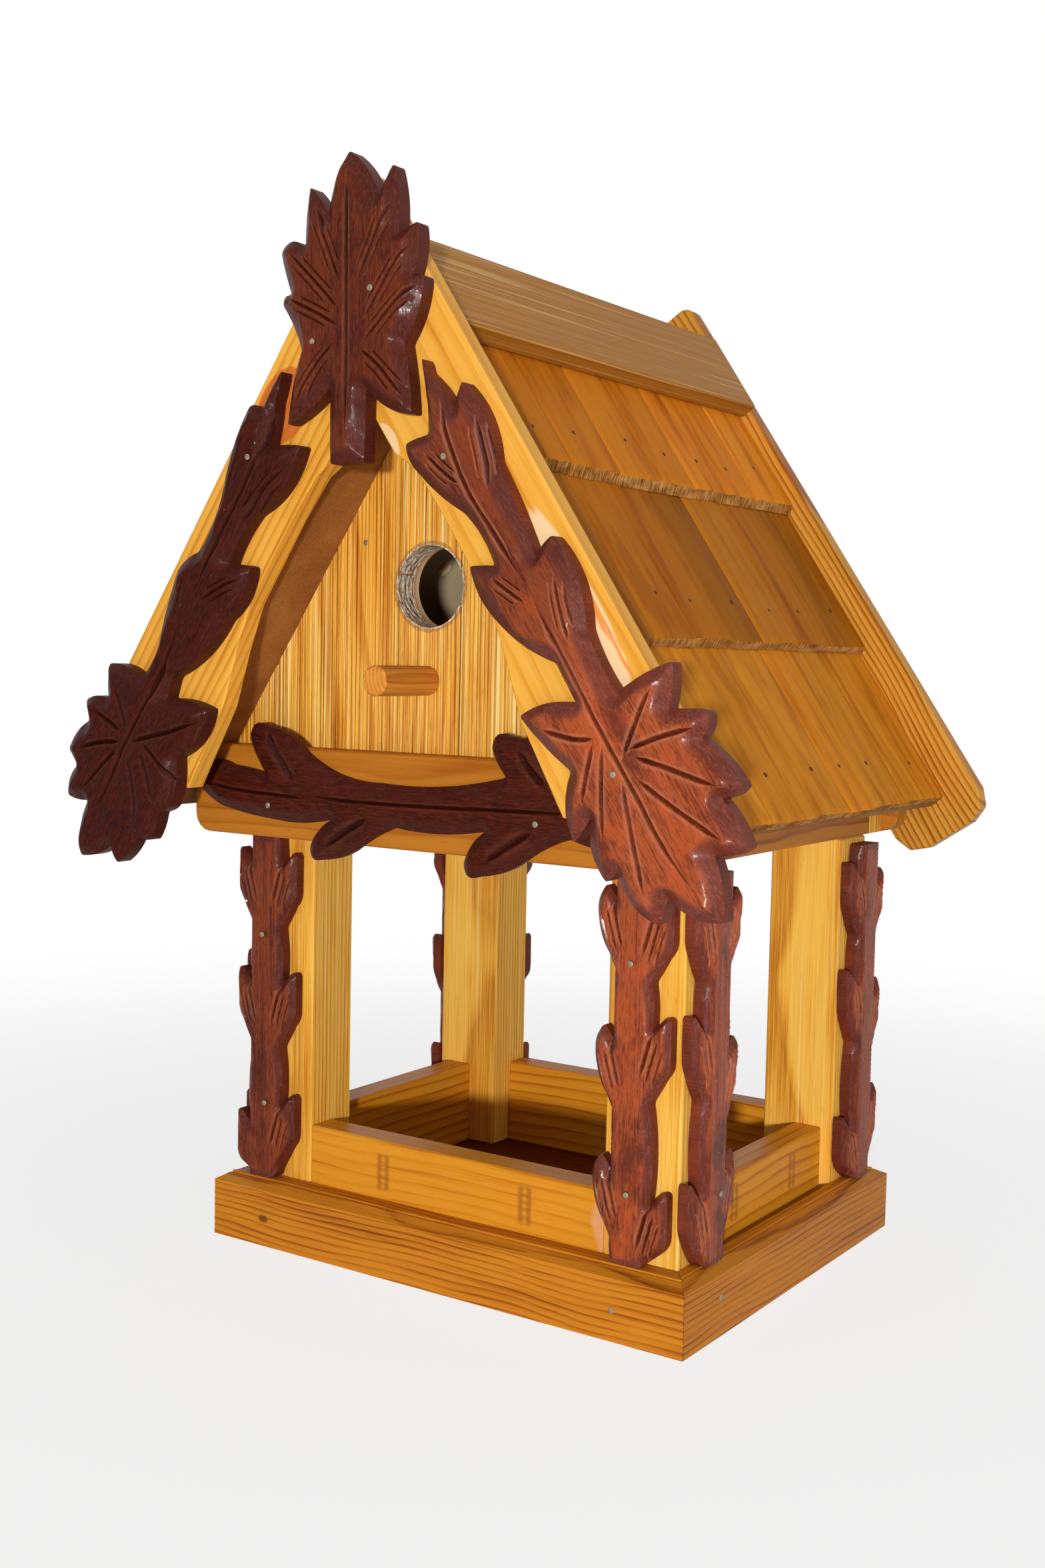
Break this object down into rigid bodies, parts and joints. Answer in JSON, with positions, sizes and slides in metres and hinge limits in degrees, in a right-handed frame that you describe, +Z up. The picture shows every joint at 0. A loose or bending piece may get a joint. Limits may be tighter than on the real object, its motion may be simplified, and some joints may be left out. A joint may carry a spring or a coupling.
{
  "type": "birdhouse with bird feeder",
  "caption": "Wooden gabled birdhouse with an entrance hole and perch, on corner posts over an open feeding tray, trimmed with carved leaves and branches",
  "frame": {"origin": "centre of the base's underside, on the floor board", "axes": "+X to the right along the front, -Y out of the front with the entrance hole, +Z up"},
  "size_m": [0.4455, 0.4083, 0.6143],
  "materials": {
    "varnished_pine": "semi-gloss varnish, streaky grain",
    "oiled_base_pine": "satin oil over dense dark grain",
    "roof_slat_wood": "satin, weathered, rough-sawn ends",
    "stained_carved_wood": "glossy dark red-brown stain",
    "fibreboard": "satin fibreboard",
    "gable_lining_wood": "bare pale plywood"
  },
  "bodies": {
    "root": {"base_front": "oiled_base_pine", "base_right": "oiled_base_pine", "base_back": "oiled_base_pine", "base_left": "oiled_base_pine", "tray_floor": "fibreboard", "rail_front": "varnished_pine", "rail_right": "varnished_pine", "rail_back": "varnished_pine", "rail_left": "varnished_pine", "post_front_left": "varnished_pine", "branch_front_face_left": "stained_carved_wood", "branch_left_side_front": "stained_carved_wood", "post_front_right": "varnished_pine", "branch_front_face_right": "stained_carved_wood", "branch_right_side_front": "stained_carved_wood", "post_back_left": "varnished_pine", "branch_back_face_left": "stained_carved_wood", "branch_left_side_back": "stained_carved_wood", "post_back_right": "varnished_pine", "branch_back_face_right": "stained_carved_wood", "branch_right_side_back": "stained_carved_wood", "beam_front": "varnished_pine", "beam_back": "varnished_pine", "side_beam_left": "varnished_pine", "side_beam_right": "varnished_pine", "nest_floor": "fibreboard", "gable_front": "varnished_pine", "gable_lining": "gable_lining_wood", "gable_back": "varnished_pine", "perch": "varnished_pine", "roof_deck_left": "fibreboard", "roof_course_3_left": "roof_slat_wood", "roof_course_2_left": "roof_slat_wood", "roof_course_1_left": "roof_slat_wood", "ridge_board_left": "roof_slat_wood", "roof_deck_right": "fibreboard", "roof_course_3_right": "roof_slat_wood", "roof_course_2_right": "roof_slat_wood", "roof_course_1_right": "roof_slat_wood", "ridge_board_right": "roof_slat_wood", "bargeboard_front_left": "varnished_pine", "bargeboard_front_right": "varnished_pine", "bargeboard_rear_left": "varnished_pine", "bargeboard_rear_right": "varnished_pine", "leaf_crown": "stained_carved_wood", "leaf_vine_left": "stained_carved_wood", "leaf_vine_right": "stained_carved_wood", "beam_branch": "stained_carved_wood"}
  },
  "joints": []
}
